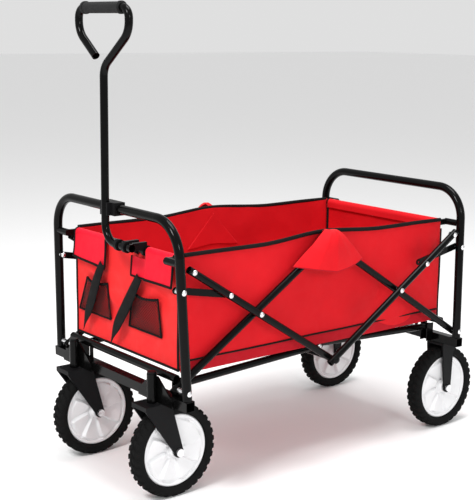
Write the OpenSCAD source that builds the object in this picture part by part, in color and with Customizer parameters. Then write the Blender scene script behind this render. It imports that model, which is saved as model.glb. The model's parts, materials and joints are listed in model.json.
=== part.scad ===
// Folding camp wagon: two tubular end frames joined by scissor bars, a hung
// fabric basket, a two-piece folding floor, swivelling front wheels and a
// hinged pull handle. Millimetres, +Z up, the handle end faces -Y, and the
// origin is on the ground under the middle of the open wagon.

/* [Scissor frame] */
// Height of the pins at the foot of the scissor bars
pin_h = 240; // [215:1:290]
// Length of a scissor bar from its middle pivot to an end pin
half_bar = 227; // [190:1:275]
// Angle of the bars above level when the wagon stands open
open_angle = 32.6; // [30:0.1:36]
// Angle of the bars above level when the wagon is folded
fold_angle = 80; // [76:1:81]
// Reach of the outer bars from their middle pivot to their top rivet
corner_reach = 196; // [186:1:204]
// Distance from the middle pivot to the link rivet on the outer bars
link_reach = 92; // [84:1:100]
// Diameter of the scissor bar tube
bar_d = 15; // [12:0.5:18]
// Air between neighbouring layers of bars
layer_gap = 0.8; // [0.4:0.1:2]
// Length of bar past each end pin
bar_end = 11; // [8:1:14]
// Radius of every rivet shank
rivet_r = 3; // [2:0.5:4]
// Radius of every domed rivet head
head_r = 5.6; // [4.5:0.1:7]
// Radius of the cross tube that joins the two bottom centre pivots
cross_r = 6; // [4:0.5:7]

/* [End frames] */
// Distance from the middle of the wagon to a leg at pin height
half_width = 236; // [200:1:280]
// Height of the top bar's axis
top_h = 566; // [500:1:640]
// Inward tilt of the legs towards the top
leg_splay = 2.5; // [0:0.1:3]
// Outward lean of each end frame towards the top
frame_lean = 2; // [0:0.1:2.5]
// Diameter of the end frame tube
frame_d = 19; // [16:0.5:22]
// Bend radius of the frame's top corners
corner_r = 70; // [50:1:72]
// Side of the square lower cross bar
lower_bar = 20; // [16:1:24]
// Height of the lower cross bar's underside
lower_bar_h = 205; // [200:1:212]
// Diameter of the round rail under the basket's end panels
floor_rail_d = 16; // [12:0.5:18]
// Height of the floor rail's axis
floor_rail_h = 257; // [255:1:262]
// Diameter of the rim rail at each end of the basket
rim_rail_d = 15; // [12:0.5:16]
// Height of the rim rails' axis
rim_rail_h = 488; // [470:1:496]
// Wall of every steel tube
tube_wall = 1.2; // [0.8:0.1:2]

/* [Links and floor] */
// Width of a link strap
link_w = 14; // [12:0.5:16]
// Thickness of a link strap
link_t = 3; // [2:0.5:4]
// Diameter of the floor tubes
floor_tube_d = 15; // [12:0.5:16]
// Distance from the middle of the wagon to the front floor tubes
floor_tube_x = 181; // [150:1:186]
// Rise of the floor hinge above the floor tubes' end pins
floor_rise = 17; // [14:1:20]
// Distance of the floor tubes' end pins inside the legs
floor_pin_in = 23; // [21:1:28]

/* [Wheels] */
// Outer radius of the tyres
tyre_r = 96; // [85:1:100]
// Width of the tyres
tyre_w = 36; // [28:1:38]
// Radius of the wheel disc
disc_r = 75; // [60:1:78]
// Radius of the axles
axle_r = 5; // [4:0.5:6]
// Distance from the middle to the front wheels
front_wheel_x = 147; // [146:1:152]
// Distance from the middle to the rear wheels
rear_wheel_x = 186; // [186:1:190]
// Distance from a caster's swivel axis back to its axle
caster_trail = 48; // [30:1:50]
// Outer diameter of the caster sleeve
sleeve_d = 20; // [17:0.5:24]
// Radius of the caster's king pin
king_r = 6; // [5:0.5:7]
// Thickness of a fork arm
arm_t = 4; // [3:0.5:5]
// Air between a tyre and its fork arms
arm_gap = 3; // [2:0.5:4]
// Distance of the rear axle behind the rear legs
rear_axle_out = 7; // [0:1:15]

/* [Handle] */
// Diameter of the handle tube
handle_d = 16; // [14:0.5:18]
// Height of the handle's hinge axis
hinge_h = 500; // [486:1:510]
// Height of the top of the loop
handle_top = 955; // [880:1:1030]
// Half of the loop's width
loop_half = 90; // [80:1:105]
// Angle between the shaft and the slanted sides of the loop
loop_slant = 53; // [45:1:60]
// Outer diameter of the foam grip
grip_d = 22; // [20:0.5:28]
// Bend radius at the foot of the shaft
foot_r = 36; // [30:1:45]
// Length of the straight hinge end of the tube
hinge_end = 60; // [52:1:75]

/* [Basket] */
// Distance of the basket's front panel inside the foot pins of the front legs
front_in = 15.5; // [14:0.5:19]
// Distance of the basket's rear panel inside the foot pins of the rear legs
rear_in = 17; // [14:0.5:19]
// Half width of the basket at its side panels
basket_half = 190.5; // [188:1:193]
// Height of the basket's rim
rim_h = 496; // [486:1:505]
// Height of the basket's underside
basket_h = 266; // [266:1:272]
// Thickness of the basket cloth with its lining
cloth_t = 2; // [1.5:0.5:2.5]
// Thickness of the floor pad
pad_t = 6; // [4:1:8]
// Depth that the front flap hangs below the rim rail
flap_drop = 55; // [40:1:70]

/* [Hidden] */
$fn = 48;

// Running clearance of every pin in its hole, and the gap between seated pieces
pin_gap = 0.05;
seat_gap = 0.3;
// How much wider than a tube the ball at each end of its bends is
joint_swell = 0.2;

// Folding geometry: the middle of the wagon is y = 0
leg_y = 2 * half_bar * cos(open_angle);
pivot_y = half_bar * cos(open_angle);
pivot_z = pin_h + half_bar * sin(open_angle);
centre_top_h = pin_h + 2 * half_bar * sin(open_angle);
corner_y = (half_bar + corner_reach) * cos(open_angle);
corner_z = pin_h + (half_bar + corner_reach) * sin(open_angle);
// Distance of the basket's end panels from the middle
front_end_y = leg_y - front_in;
rear_end_y = leg_y - rear_in;
link_y = (half_bar + link_reach) * cos(open_angle);
link_z = pin_h + (half_bar + link_reach) * sin(open_angle);

// The link's leg rivet is where the link has one length both open and folded
lean_slope = tan(frame_lean);
open_in = -(half_bar - link_reach) * cos(open_angle);
open_up = (half_bar + link_reach) * sin(open_angle);
fold_in = -(half_bar - link_reach) * cos(fold_angle);
fold_up = (half_bar + link_reach) * sin(fold_angle);
link_pin_rise = (open_in * open_in + open_up * open_up - fold_in * fold_in - fold_up * fold_up)
    / (2 * ((open_in - fold_in) * lean_slope + open_up - fold_up));
link_pin_h = pin_h + link_pin_rise;
link_pin_y = leg_y + link_pin_rise * lean_slope;
link_len = norm([link_pin_y - link_y, link_pin_h - link_z]);
link_tilt = atan2(link_pin_h - link_z, link_pin_y - link_y);

// Layers of the side frames, counted outwards from the basket
bar_pitch = bar_d + layer_gap;
layer_1 = half_width - frame_d / 2 - 1 - bar_d / 2;
layer_0 = layer_1 - bar_pitch;
layer_2 = layer_1 + bar_pitch;

// End frame outline in its own plane, measured from the pin height
splay_slope = tan(leg_splay);
foot_drop = pin_h - lower_bar_h - lower_bar;
leg_start = foot_drop + 6;
frame_rise = (top_h - pin_h) / cos(frame_lean) + leg_start;
leg_start_x = half_width + leg_start * splay_slope;
leg_len = (frame_rise - corner_r * (1 - sin(leg_splay))) / cos(leg_splay);
top_half = leg_start_x - leg_len * sin(leg_splay) - corner_r * cos(leg_splay);
lower_bar_half = half_width + (foot_drop + lower_bar) * splay_slope + frame_d / 2;
top_bar_y = leg_y + (top_h - pin_h) * lean_slope;

// Distance from the middle of the wagon to a leg's axis at a height
function leg_x(h) = half_width - (h - pin_h) * splay_slope;
// Distance from the middle of the wagon to a frame's plane at a height
function frame_y(h) = leg_y + (h - pin_h) * lean_slope;

// Inboard faces of the link straps: inside the front outer bars, and inside the rear legs
front_link_x = layer_1 - bar_d / 2 - link_t - seat_gap;
rear_link_x = leg_x(link_pin_h) - frame_d / 2 - link_t - 1.8;

// Handle: shaft just in front of the top bar, hinge axis level across the wagon
shaft_y = top_bar_y + frame_d / 2 + 0.5 + handle_d / 2;
loop_top_r = 20;
loop_side_r = 42;
loop_foot_r = 35;
loop_side_len = 5;
slant_len = (loop_half - (loop_foot_r + loop_side_r) * (1 - cos(loop_slant))) / sin(loop_slant);
loop_rise = (loop_foot_r + loop_side_r) * sin(loop_slant) + slant_len * cos(loop_slant);
shaft_len = handle_top - loop_top_r - loop_side_len - loop_rise - hinge_h - foot_r;
free_end_len = 57;
grip_half = loop_half - loop_top_r;
saddle_x = [foot_r + 9, foot_r + 37];
saddle_w = 8;
clip_half = 27;
spacer_r = 5;

// Casters and forks
king_y = leg_y + lower_bar / 2 + sleeve_d / 2 - 0.4;
front_axle_y = king_y - caster_trail;
rear_axle_y = leg_y + rear_axle_out;
crown_t = 5;
fork_front = 30;
sleeve_gap = 1;
crown_top = lower_bar_h - 3;
sleeve_top = crown_top + sleeve_gap + 58;
fork_half = tyre_w / 2 + arm_gap;

// Floor
floor_pin_y = leg_y - floor_pin_in;
floor_tube_gap = 1;
floor_tilt = atan2(floor_rise, floor_pin_y);
floor_len = norm([floor_pin_y, floor_rise]);
floor_step = floor_tube_d + floor_tube_gap;
floor_tube_end = 9;
floor_rail_y = leg_y - 6;
floor_rail_half = layer_0 - bar_d / 2 - 1;
post_x = 118;
post_r = 4;
bracket_t = 2.5;

pad_lift = 0.6;
pad_z = pin_h + floor_rise + floor_tube_d / 2 + pad_lift;

// Basket
rail_half = 186;
rail_plate_t = 5;
end_half = basket_half - cloth_t - seat_gap;
rail_clear = rim_rail_d / 2 + seat_gap;
roll_r = 5;
flap_half = rail_half - rail_plate_t - seat_gap;
notch_left = 57;
notch_right = 88;
pocket_w = 106;
pocket_t = 3;
pocket_h = 66;
pocket_z = basket_h + 60;
pocket_x = [-97, 84];

// Colours of the finishes
paint = [0.04, 0.04, 0.045];
plastic = [0.07, 0.07, 0.075];
bright = [0.85, 0.85, 0.86];
disc_white = [0.9, 0.9, 0.9];
rubber = [0.06, 0.06, 0.06];
red_cloth = [0.85, 0.07, 0.09];
mesh_black = [0.12, 0.05, 0.06];

// ---- helpers ----

// Draws its children for the wagon's rear end, or mirrored for its front end
module at_end(front) {
    mirror([0, front ? 1 : 0, 0])
        children();
}

// Draws its children on the +X side, or mirrored on the -X side
module on_side(left) {
    mirror([left ? 1 : 0, 0, 0])
        children();
}

// A solid of the leaning end frame's plane: x across, z up from the pin height
module in_frame_plane() {
    translate([0, leg_y, pin_h])
        rotate([-frame_lean, 0, 0])
            children();
}

// A ring: the section of a tube
module tube_section(d) {
    difference() {
        circle(d = d);
        circle(d = d - 2 * tube_wall);
    }
}

// One bend of a rod that starts at the origin along +Z and turns towards +X
module rod_bend(d, radius, angle) {
    translate([radius, 0, 0])
        rotate([90, 0, 0])
            rotate([0, 0, 180 - angle])
                rotate_extrude(angle = angle)
                    translate([radius, 0])
                        circle(d = d);
}

// A bent rod along +Z. Each step is [straight length, bend angle, bend radius];
// a positive bend turns towards +X and a negative one towards -X. Both ends of
// the rod can be made a little longer, and a ball a hair wider than the rod
// sits where each bend meets a straight length.
module bent_rod(d, steps, longer = 0, i = 0) {
    straight = steps[i][0];
    angle = steps[i][1];
    radius = steps[i][2];
    before = i == 0 ? longer : 0;
    after = i == len(steps) - 1 ? longer : 0;
    translate([0, 0, -before])
        cylinder(d = d, h = straight + before + after);
    translate([0, 0, straight]) {
        if (angle > 0)
            rod_bend(d, radius, angle);
        if (angle < 0)
            rotate([0, 0, 180])
                rod_bend(d, radius, -angle);
        if (i < len(steps) - 1) {
            sphere(d = d + joint_swell);
            translate([sign(angle) * radius * (1 - cos(angle)), 0, radius * sin(abs(angle))]) {
                sphere(d = d + joint_swell);
                rotate([0, angle, 0])
                    bent_rod(d, steps, longer, i + 1);
            }
        }
    }
}

// A bent tube: the rod without its bore
module bent_tube(d, steps) {
    difference() {
        bent_rod(d, steps);
        bent_rod(d - 2 * tube_wall, steps, 1);
    }
}

// A tube along X centred on the origin
module cross_tube(d, half) {
    translate([-half, 0, 0])
        rotate([0, 90, 0])
            linear_extrude(2 * half)
                tube_section(d);
}

// A solid rod along X from one place to another
module x_rod(r, from, to) {
    translate([from, 0, 0])
        rotate([0, 90, 0])
            cylinder(r = r, h = to - from);
}

// A domed rivet head that rises along +X from the origin
module dome(r = head_r) {
    height = r * 0.55;
    ball = (r * r + height * height) / (2 * height);
    rotate([0, 90, 0])
        intersection() {
            translate([0, 0, height - ball])
                sphere(r = ball);
            cylinder(r = r + 1, h = height + 1);
        }
}

// A rivet along X with a head at each end
module rivet(from, to, r = rivet_r) {
    x_rod(r, from, to);
    translate([to, 0, 0])
        dome();
    translate([from, 0, 0])
        mirror([1, 0, 0])
            dome();
}

// ---- end frames ----

module legs_and_top_bar() {
    at_steps = [
        [leg_len, 90 - leg_splay, corner_r],
        [2 * top_half, 90 - leg_splay, corner_r],
        [leg_len, 0, 0]
    ];
    translate([-leg_start_x, 0, -leg_start])
        rotate([0, leg_splay, 0])
            bent_tube(frame_d, at_steps);
}

// Holes through both legs at a height above the pins, for a rivet along X
module leg_holes(rise) {
    x_rod_to = half_width + frame_d;
    translate([0, 0, rise])
        x_rod(rivet_r + pin_gap, -x_rod_to, x_rod_to);
}

module end_frame_tube(front) {
    color(paint)
        rotate([0, 0, front ? 180 : 0])
            in_frame_plane()
                difference() {
                    legs_and_top_bar();
                    translate([-half_width * 1.5, -lower_bar, -foot_drop - 40])
                        cube([half_width * 3, 2 * lower_bar, 40]);
                    leg_holes(0);
                    leg_holes(link_pin_rise / cos(frame_lean));
                }
}

module lower_bar_at(front) {
    color(paint)
        at_end(front)
            in_frame_plane()
                translate([-lower_bar_half, -lower_bar / 2, -foot_drop - lower_bar])
                    difference() {
                        cube([2 * lower_bar_half, lower_bar, lower_bar]);
                        translate([-1, tube_wall, tube_wall])
                            cube([
                                2 * lower_bar_half + 2,
                                lower_bar - 2 * tube_wall,
                                lower_bar - 2 * tube_wall
                            ]);
                    }
}

// The two legs as solid bars, a little fat, to cut the ends of the rails
module leg_envelope() {
    in_frame_plane()
        for (left = [false, true])
            on_side(left)
                translate([leg_start_x, 0, -leg_start])
                    rotate([0, -leg_splay, 0])
                        cylinder(r = frame_d / 2 + seat_gap, h = leg_len);
}

// A rail inside the scissor bars, on two posts that stand on the lower bar
module floor_rail(front) {
    color(paint)
        at_end(front)
            translate([0, floor_rail_y, floor_rail_h]) {
                cross_tube(floor_rail_d, floor_rail_half);
                for (s = [-1, 1])
                    translate([s * post_x, 0, lower_bar_h + lower_bar + seat_gap - floor_rail_h])
                        cylinder(r = post_r, h = floor_rail_h - lower_bar_h - lower_bar - floor_rail_d / 2 + 1);
            }
}

// Rivets that hold the scissor feet and the links to the legs of one end
// with a spacer wherever a foot or a link stands away from its leg
module frame_pins(front, foot_in, link_in, foot_out, link_out) {
    color(bright)
        at_end(front)
            for (left = [false, true])
                on_side(left) {
                    translate([0, leg_y, pin_h]) {
                        rivet(foot_in, leg_x(pin_h) + frame_d / 2 + seat_gap);
                        if (front)
                            x_rod(spacer_r, foot_out, leg_x(pin_h) - frame_d / 2 - seat_gap);
                    }
                    translate([0, link_pin_y, link_pin_h]) {
                        rivet(link_in, leg_x(link_pin_h) + frame_d / 2 + seat_gap);
                        if (front)
                            x_rod(spacer_r, link_out, leg_x(link_pin_h) - frame_d / 2 - seat_gap);
                    }
                }
}

// ---- scissor bars ----

// A bar through the origin along +Z with cross holes at the places listed
module bar_tube(below, above, holes) {
    difference() {
        translate([0, 0, -below])
            linear_extrude(below + above)
                tube_section(bar_d);
        for (h = holes)
            translate([0, 0, h])
                x_rod(rivet_r + pin_gap, -bar_d, bar_d);
    }
}

// Places a bar at an end's middle pivot; it rises away from the wagon's middle
// when outward is true, and towards the middle when it is false
module at_pivot(front, outward, layer, left) {
    color(paint)
        on_side(left)
            at_end(front)
                translate([layer, pivot_y, pivot_z])
                    rotate([outward ? open_angle - 90 : 90 - open_angle, 0, 0])
                        children();
}

module outer_bar(front, layer, left) {
    at_pivot(front, true, layer, left)
        difference() {
            bar_tube(half_bar + bar_end + 3, corner_reach + bar_end, [0, link_reach, corner_reach]);
            translate([0, 0, -half_bar])
                x_rod(cross_r + pin_gap, -bar_d, bar_d);
        }
}

module inner_bar(front, layer, left, top_clearance) {
    at_pivot(front, false, layer, left)
        difference() {
            bar_tube(half_bar + bar_end, half_bar + bar_end, [0, -half_bar]);
            translate([0, 0, half_bar])
                x_rod(rivet_r + top_clearance, -bar_d, bar_d);
        }
}

// Rivets of an outer bar: middle pivot, link rivet and top rivet
module outer_bar_rivets(front, inner_face, outer_face) {
    color(bright)
        for (left = [false, true])
            on_side(left)
                at_end(front) {
                    translate([0, pivot_y, pivot_z])
                        rivet(inner_face - bar_pitch - 2 * seat_gap, outer_face);
                    translate([0, link_y, link_z]) {
                        x_rod(rivet_r, inner_face, outer_face);
                        translate([outer_face, 0, 0])
                            dome();
                    }
                    translate([0, corner_y, corner_z])
                        rivet(inner_face - 2 * seat_gap, outer_face);
                }
}

module rivets_a() {
    outer_bar_rivets(true, layer_1 - bar_d / 2 + seat_gap, layer_1 + bar_d / 2 + seat_gap);
}

module rivets_d() {
    outer_bar_rivets(false, layer_2 - bar_d / 2 + seat_gap, layer_2 + bar_d / 2 + seat_gap);
}

// Top centre pins, one on each side, carried by the rear inner bars
module rivets_c() {
    color(bright)
        for (left = [false, true])
            on_side(left)
                translate([0, 0, centre_top_h])
                    rivet(layer_0 - bar_d / 2 - seat_gap, layer_1 + bar_d / 2 + seat_gap);
}

// Cross tube through the bottom centre pivots, with a nut outside each bar
module centre_cross_tube() {
    reach = layer_2 + bar_d / 2 + seat_gap;
    color(paint)
        translate([0, 0, pin_h]) {
            x_rod(cross_r, -reach, reach);
            for (left = [false, true])
                on_side(left)
                    translate([reach, 0, 0])
                        dome(cross_r + 3);
        }
}

// ---- links ----

module links(front, inner_x) {
    color(paint)
        for (left = [false, true])
            on_side(left)
                at_end(front)
                    translate([inner_x, link_pin_y, link_pin_h])
                        rotate([link_tilt, 0, 0])
                            link_strap();
}

// A flat strap along -Y with a round eye at both ends
module link_strap() {
    difference() {
        union() {
            translate([0, -link_len, -link_w / 2])
                cube([link_t, link_len, link_w]);
            x_rod(link_w / 2, 0, link_t);
            translate([0, -link_len, 0])
                x_rod(link_w / 2, 0, link_t);
        }
        x_rod(rivet_r + pin_gap, -1, link_t + 1);
        translate([0, -link_len, 0])
            x_rod(rivet_r + pin_gap, -1, link_t + 1);
    }
}

// ---- rim rails ----

// A rail across one end of the basket, cranked outwards to stubs on the legs
module rim_rail(front, y) {
    stub_y = frame_y(rim_rail_h);
    plate = rail_half - rail_plate_t;
    color(paint)
        at_end(front)
            difference() {
                translate([0, 0, rim_rail_h]) {
                    translate([0, y, 0])
                        cross_tube(rim_rail_d, rail_half);
                    for (left = [false, true])
                        on_side(left) {
                            translate([plate, y - 4, -rim_rail_d / 2 + 1])
                                cube([rail_plate_t, stub_y - y + 8, rim_rail_d - 2]);
                            translate([0, stub_y, 0])
                                x_rod(rim_rail_d / 2, plate, leg_x(rim_rail_h));
                        }
                }
                leg_envelope();
            }
}

// ---- folding floor ----

// Draws its children with +Z running from a floor pin up to the floor hinge
module along_floor(front, x) {
    at_end(front)
        translate([x, floor_pin_y, pin_h])
            rotate([90 - floor_tilt, 0, 0])
                children();
}

module floor_tubes(front, x) {
    color(paint)
        for (left = [false, true])
            on_side(left)
                along_floor(front, x)
                    difference() {
                        translate([0, 0, -floor_tube_end])
                            linear_extrude(floor_len + 2 * floor_tube_end)
                                tube_section(floor_tube_d);
                        for (h = [0, floor_len])
                            translate([0, 0, h])
                                x_rod(rivet_r + pin_gap, -floor_tube_d, floor_tube_d);
                    }
}

// Hinge rivets in the front floor tubes, flush where the rear tubes lie beside
module floor_hinge_rivets() {
    outer = floor_tube_x + floor_tube_d / 2 + seat_gap;
    color(bright)
        for (left = [false, true])
            on_side(left)
                translate([0, 0, pin_h + floor_rise]) {
                    x_rod(rivet_r, floor_tube_x - floor_tube_d / 2, outer);
                    translate([outer, 0, 0])
                        dome();
                }
}

// Two ears and a pin that carry the end of each floor tube on the lower bar
module floor_brackets(front, x) {
    ear_in = floor_tube_d / 2 + 0.5;
    ear_y = floor_pin_y - 9;
    ear_len = leg_y - lower_bar / 2 - 1.5 - ear_y;
    color(paint)
        at_end(front)
            for (left = [false, true])
                on_side(left) {
                    for (s = [-1, 1])
                        translate([x + s * (ear_in + bracket_t / 2) - bracket_t / 2, ear_y, lower_bar_h + 3])
                            cube([bracket_t, ear_len, pin_h + 9 - lower_bar_h - 3]);
                    translate([x - ear_in - bracket_t, ear_y + ear_len - bracket_t, lower_bar_h + 3])
                        cube([2 * (ear_in + bracket_t), bracket_t, pin_h - floor_tube_d / 2 - 5 - lower_bar_h]);
                    translate([0, floor_pin_y, pin_h])
                        x_rod(rivet_r, x - ear_in - bracket_t, x + ear_in + bracket_t);
                }
}

// ---- handle ----

module handle_tube() {
    steps = [
        [hinge_end, 90, foot_r],
        [shaft_len, loop_slant, loop_foot_r],
        [slant_len, -loop_slant, loop_side_r],
        [loop_side_len, -90, loop_top_r],
        [2 * grip_half, -90, loop_top_r],
        [loop_side_len, -loop_slant, loop_side_r],
        [free_end_len, 0, 0]
    ];
    color(paint)
        translate([foot_r + hinge_end, -shaft_y, hinge_h])
            rotate([0, -90, 0])
                bent_tube(handle_d, steps);
}

module handle_grip() {
    color(plastic)
        translate([0, -shaft_y, handle_top])
            difference() {
                union() {
                    x_rod(grip_d / 2, -grip_half + 3, grip_half - 3);
                    for (s = [-1, 1])
                        translate([s * (grip_half - 6), 0, 0])
                            x_rod(grip_d / 2 + 1.5, -3, 3);
                }
                x_rod(handle_d / 2 + pin_gap, -loop_half, loop_half);
            }
}

// Block on the front top bar whose open slot holds the upright shaft
module handle_clip() {
    block_front = frame_d / 2 + 4;
    block_back = frame_d / 2 + 1.5;
    block_z = frame_d / 2 + 3.5;
    slot = handle_d / 2 + seat_gap;
    color(plastic)
        translate([0, -top_bar_y, top_h])
            difference() {
                union() {
                    translate([-clip_half, -block_front, -block_z])
                        cube([2 * clip_half, block_front + block_back, 2 * block_z]);
                    translate([-slot - 5, -shaft_y + top_bar_y - handle_d / 4, -block_z])
                        cube([2 * (slot + 5), handle_d, 2 * block_z]);
                }
                x_rod(frame_d / 2 + pin_gap, -clip_half - 1, clip_half + 1);
                translate([-slot, -shaft_y + top_bar_y - handle_d, -block_z - 1])
                    cube([2 * slot, 1.5 * handle_d + seat_gap, 2 * block_z + 2]);
            }
}

// Two saddles on the front rim rail that hold the tube's hinge end
module handle_saddles() {
    reach = shaft_y - front_end_y;
    rise = hinge_h - rim_rail_h;
    color(plastic)
        for (x = saddle_x)
            translate([0, -front_end_y, rim_rail_h])
                difference() {
                    union() {
                        x_rod(rim_rail_d / 2 + 3.5, x, x + saddle_w);
                        translate([0, -reach, rise])
                            x_rod(handle_d / 2 + 3.5, x, x + saddle_w);
                        translate([x, -reach, rise - handle_d / 2 - 2])
                            cube([saddle_w, reach, handle_d]);
                    }
                    x_rod(rim_rail_d / 2 + pin_gap, x - 1, x + saddle_w + 1);
                    translate([0, -reach, rise])
                        x_rod(handle_d / 2 + pin_gap, x - 1, x + saddle_w + 1);
                }
}

// ---- casters, forks and wheels ----

// A gusseted sleeve in front of the lower bar for each caster's king pin
module caster_sleeves() {
    plate_half = 58;
    plate_t = 3;
    height = sleeve_top - crown_top - sleeve_gap;
    color(paint)
        for (left = [false, true])
            on_side(left)
                translate([front_wheel_x, -king_y, crown_top + sleeve_gap]) {
                    difference() {
                        union() {
                            cylinder(d = sleeve_d, h = height);
                            translate([0, sleeve_d / 2, 0])
                                rotate([90, 0, 0])
                                    linear_extrude(plate_t)
                                        polygon([
                                            [-plate_half, 0],
                                            [plate_half, 0],
                                            [plate_half, 14],
                                            [sleeve_d / 2, height - 6],
                                            [-sleeve_d / 2, height - 6],
                                            [-plate_half, 14]
                                        ]);
                        }
                        translate([0, 0, -1])
                            cylinder(r = king_r + pin_gap, h = height + 2);
                    }
                }
}

// Side outline of a fork: crown at the top, arms down and back to the axle.
// The origin is on the crown's top, and x runs from the front to the axle side.
module fork_outline(back, down, front_reach, rear_reach) {
    eye = 11;
    polygon([
        [-front_reach, 0],
        [rear_reach, 0],
        [rear_reach, -9],
        [back + eye, -down],
        [back - eye, -down],
        [-front_reach + 12, -26],
        [-front_reach, -9]
    ]);
    translate([back, -down])
        circle(r = eye);
}

// A fork with its crown's top at the origin; the arms reach back along +Y
module fork(back, down, front_reach, rear_reach) {
    difference() {
        union() {
            for (s = [-1, 1])
                translate([s * (fork_half + arm_t / 2) - arm_t / 2, 0, 0])
                    rotate([90, 0, 90])
                        linear_extrude(arm_t)
                            fork_outline(back, down, front_reach, rear_reach);
            translate([-fork_half - 0.5, -front_reach, -crown_t])
                cube([2 * fork_half + 1, front_reach + rear_reach, crown_t]);
            translate([-fork_half - 0.5, -front_reach, -9])
                cube([2 * fork_half + 1, 3, 9]);
        }
        translate([0, back, -down])
            x_rod(axle_r + pin_gap, -fork_half - 2 * arm_t, fork_half + 2 * arm_t);
    }
}

module caster_fork(left) {
    color(plastic)
        on_side(left)
            translate([front_wheel_x, -king_y, crown_top]) {
                fork(caster_trail, crown_top - tyre_r, fork_front, fork_front + 2);
                cylinder(r = king_r, h = sleeve_top - crown_top + 2);
                translate([0, 0, sleeve_top - crown_top + seat_gap])
                    cylinder(r = king_r + 3, h = 4);
            }
}

module rear_forks() {
    rear_crown = lower_bar_h - 2 * seat_gap;
    color(plastic)
        for (left = [false, true])
            on_side(left)
                translate([rear_wheel_x, leg_y + 10, rear_crown])
                    mirror([0, 1, 0])
                        fork(10 - rear_axle_out, rear_crown - tyre_r, 24, 24);
}

// An axle along X with a nut outside each fork arm
module axle() {
    reach = fork_half + arm_t + seat_gap;
    color(bright) {
        x_rod(axle_r, -reach - 1, reach + 1);
        for (s = [-1, 1])
            translate([s * (reach + 2.5), 0, 0])
                x_rod(axle_r + 3, -2.5, 2.5);
    }
}

module front_axle_at(left) {
    on_side(left)
        translate([front_wheel_x, -front_axle_y, tyre_r])
            children();
}

module rear_axle_at(left) {
    on_side(left)
        translate([rear_wheel_x, rear_axle_y, tyre_r])
            children();
}

// A tyre around the X axis with chamfered shoulders
module tyre() {
    half = tyre_w / 2;
    color(rubber)
        rotate([0, 90, 0])
            rotate_extrude($fn = 96)
                polygon([
                    [disc_r + seat_gap, -half * 0.8],
                    [disc_r + 6, -half],
                    [tyre_r - 8, -half],
                    [tyre_r - 2.5, -half + 5],
                    [tyre_r, -half + 11],
                    [tyre_r, half - 11],
                    [tyre_r - 2.5, half - 5],
                    [tyre_r - 8, half],
                    [disc_r + 6, half],
                    [disc_r + seat_gap, half * 0.8]
                ]);
}

// A moulded wheel disc around the X axis: hub, dished web and rim
module wheel_disc() {
    hub_r = 13;
    hub_half = fork_half - 0.5;
    rim_half = tyre_w / 2 * 0.8;
    color(disc_white)
        rotate([0, 90, 0])
            rotate_extrude($fn = 96)
                polygon([
                    [axle_r + pin_gap, -hub_half],
                    [hub_r, -hub_half],
                    [hub_r + 3, -rim_half + 3],
                    [disc_r - 8, -rim_half + 5],
                    [disc_r - 5, -rim_half],
                    [disc_r, -rim_half],
                    [disc_r, rim_half],
                    [disc_r - 5, rim_half],
                    [disc_r - 8, rim_half - 5],
                    [hub_r + 3, rim_half - 3],
                    [hub_r, hub_half],
                    [axle_r + pin_gap, hub_half]
                ]);
}

// ---- basket ----

module end_panel(front, y) {
    color(red_cloth)
        at_end(front)
            translate([-end_half, y - cloth_t / 2, basket_h])
                cube([2 * end_half, cloth_t, rim_rail_h - rim_rail_d / 2 - 4 - basket_h]);
}

module side_panel(left) {
    front_edge = front_end_y - cloth_t / 2 - seat_gap;
    rear_edge = rear_end_y - cloth_t / 2 - seat_gap;
    roll_front = front_end_y - rail_clear;
    roll_rear = rear_end_y - rail_clear;
    color(red_cloth)
        on_side(left) {
            translate([basket_half - cloth_t, -front_edge, basket_h])
                cube([cloth_t, front_edge + rear_edge, rim_h - roll_r - basket_h]);
            translate([basket_half - roll_r + 2.5, -roll_front, rim_h - roll_r])
                rotate([-90, 0, 0])
                    cylinder(r = roll_r, h = roll_front + roll_rear);
        }
}

// A flap folded over the front rim rail, notched for the handle's saddles
module front_flap() {
    inner = front_end_y - rail_clear;
    outer = front_end_y + rail_clear;
    over = rim_rail_h + rail_clear;
    color(red_cloth)
        difference() {
            translate([-flap_half, 0, 0])
                rotate([90, 0, 90])
                    linear_extrude(2 * flap_half)
                        polygon([
                            [-inner, rim_rail_h - 10],
                            [-inner, over],
                            [-outer, over],
                            [-outer, rim_rail_h - flap_drop],
                            [-outer - cloth_t, rim_rail_h - flap_drop],
                            [-outer - cloth_t, over + cloth_t],
                            [-inner + cloth_t, over + cloth_t],
                            [-inner + cloth_t, rim_rail_h - 10]
                        ]);
            translate([-notch_left, -outer - 2 * cloth_t, rim_rail_h - flap_drop - 1])
                cube([notch_left + notch_right, 4 * rim_rail_d, flap_drop + 40]);
        }
}

// Two flat mesh pockets on the front panel
module mesh_pockets() {
    color(mesh_black)
        for (x = pocket_x)
            translate([
                x - pocket_w / 2,
                -front_end_y - cloth_t / 2 - pocket_t - seat_gap,
                pocket_z
            ])
                cube([pocket_w, pocket_t, pocket_h]);
}

module floor_pad(front, y) {
    color(red_cloth)
        at_end(front)
            translate([-basket_half + cloth_t + 1, 1, pad_z])
                cube([2 * (basket_half - cloth_t - 1), y - cloth_t - 4, pad_t]);
}

// Reach of the foremost point, on a fork or on a front tyre
front_most = max(king_y + fork_front, king_y - caster_trail + tyre_r);

// Moves the drawing so that the origin is under the middle of the outline
module in_place() {
    translate([0, (front_most - rear_axle_y - tyre_r) / 2, 0])
        children();
}

// ---- drawing ----

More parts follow.
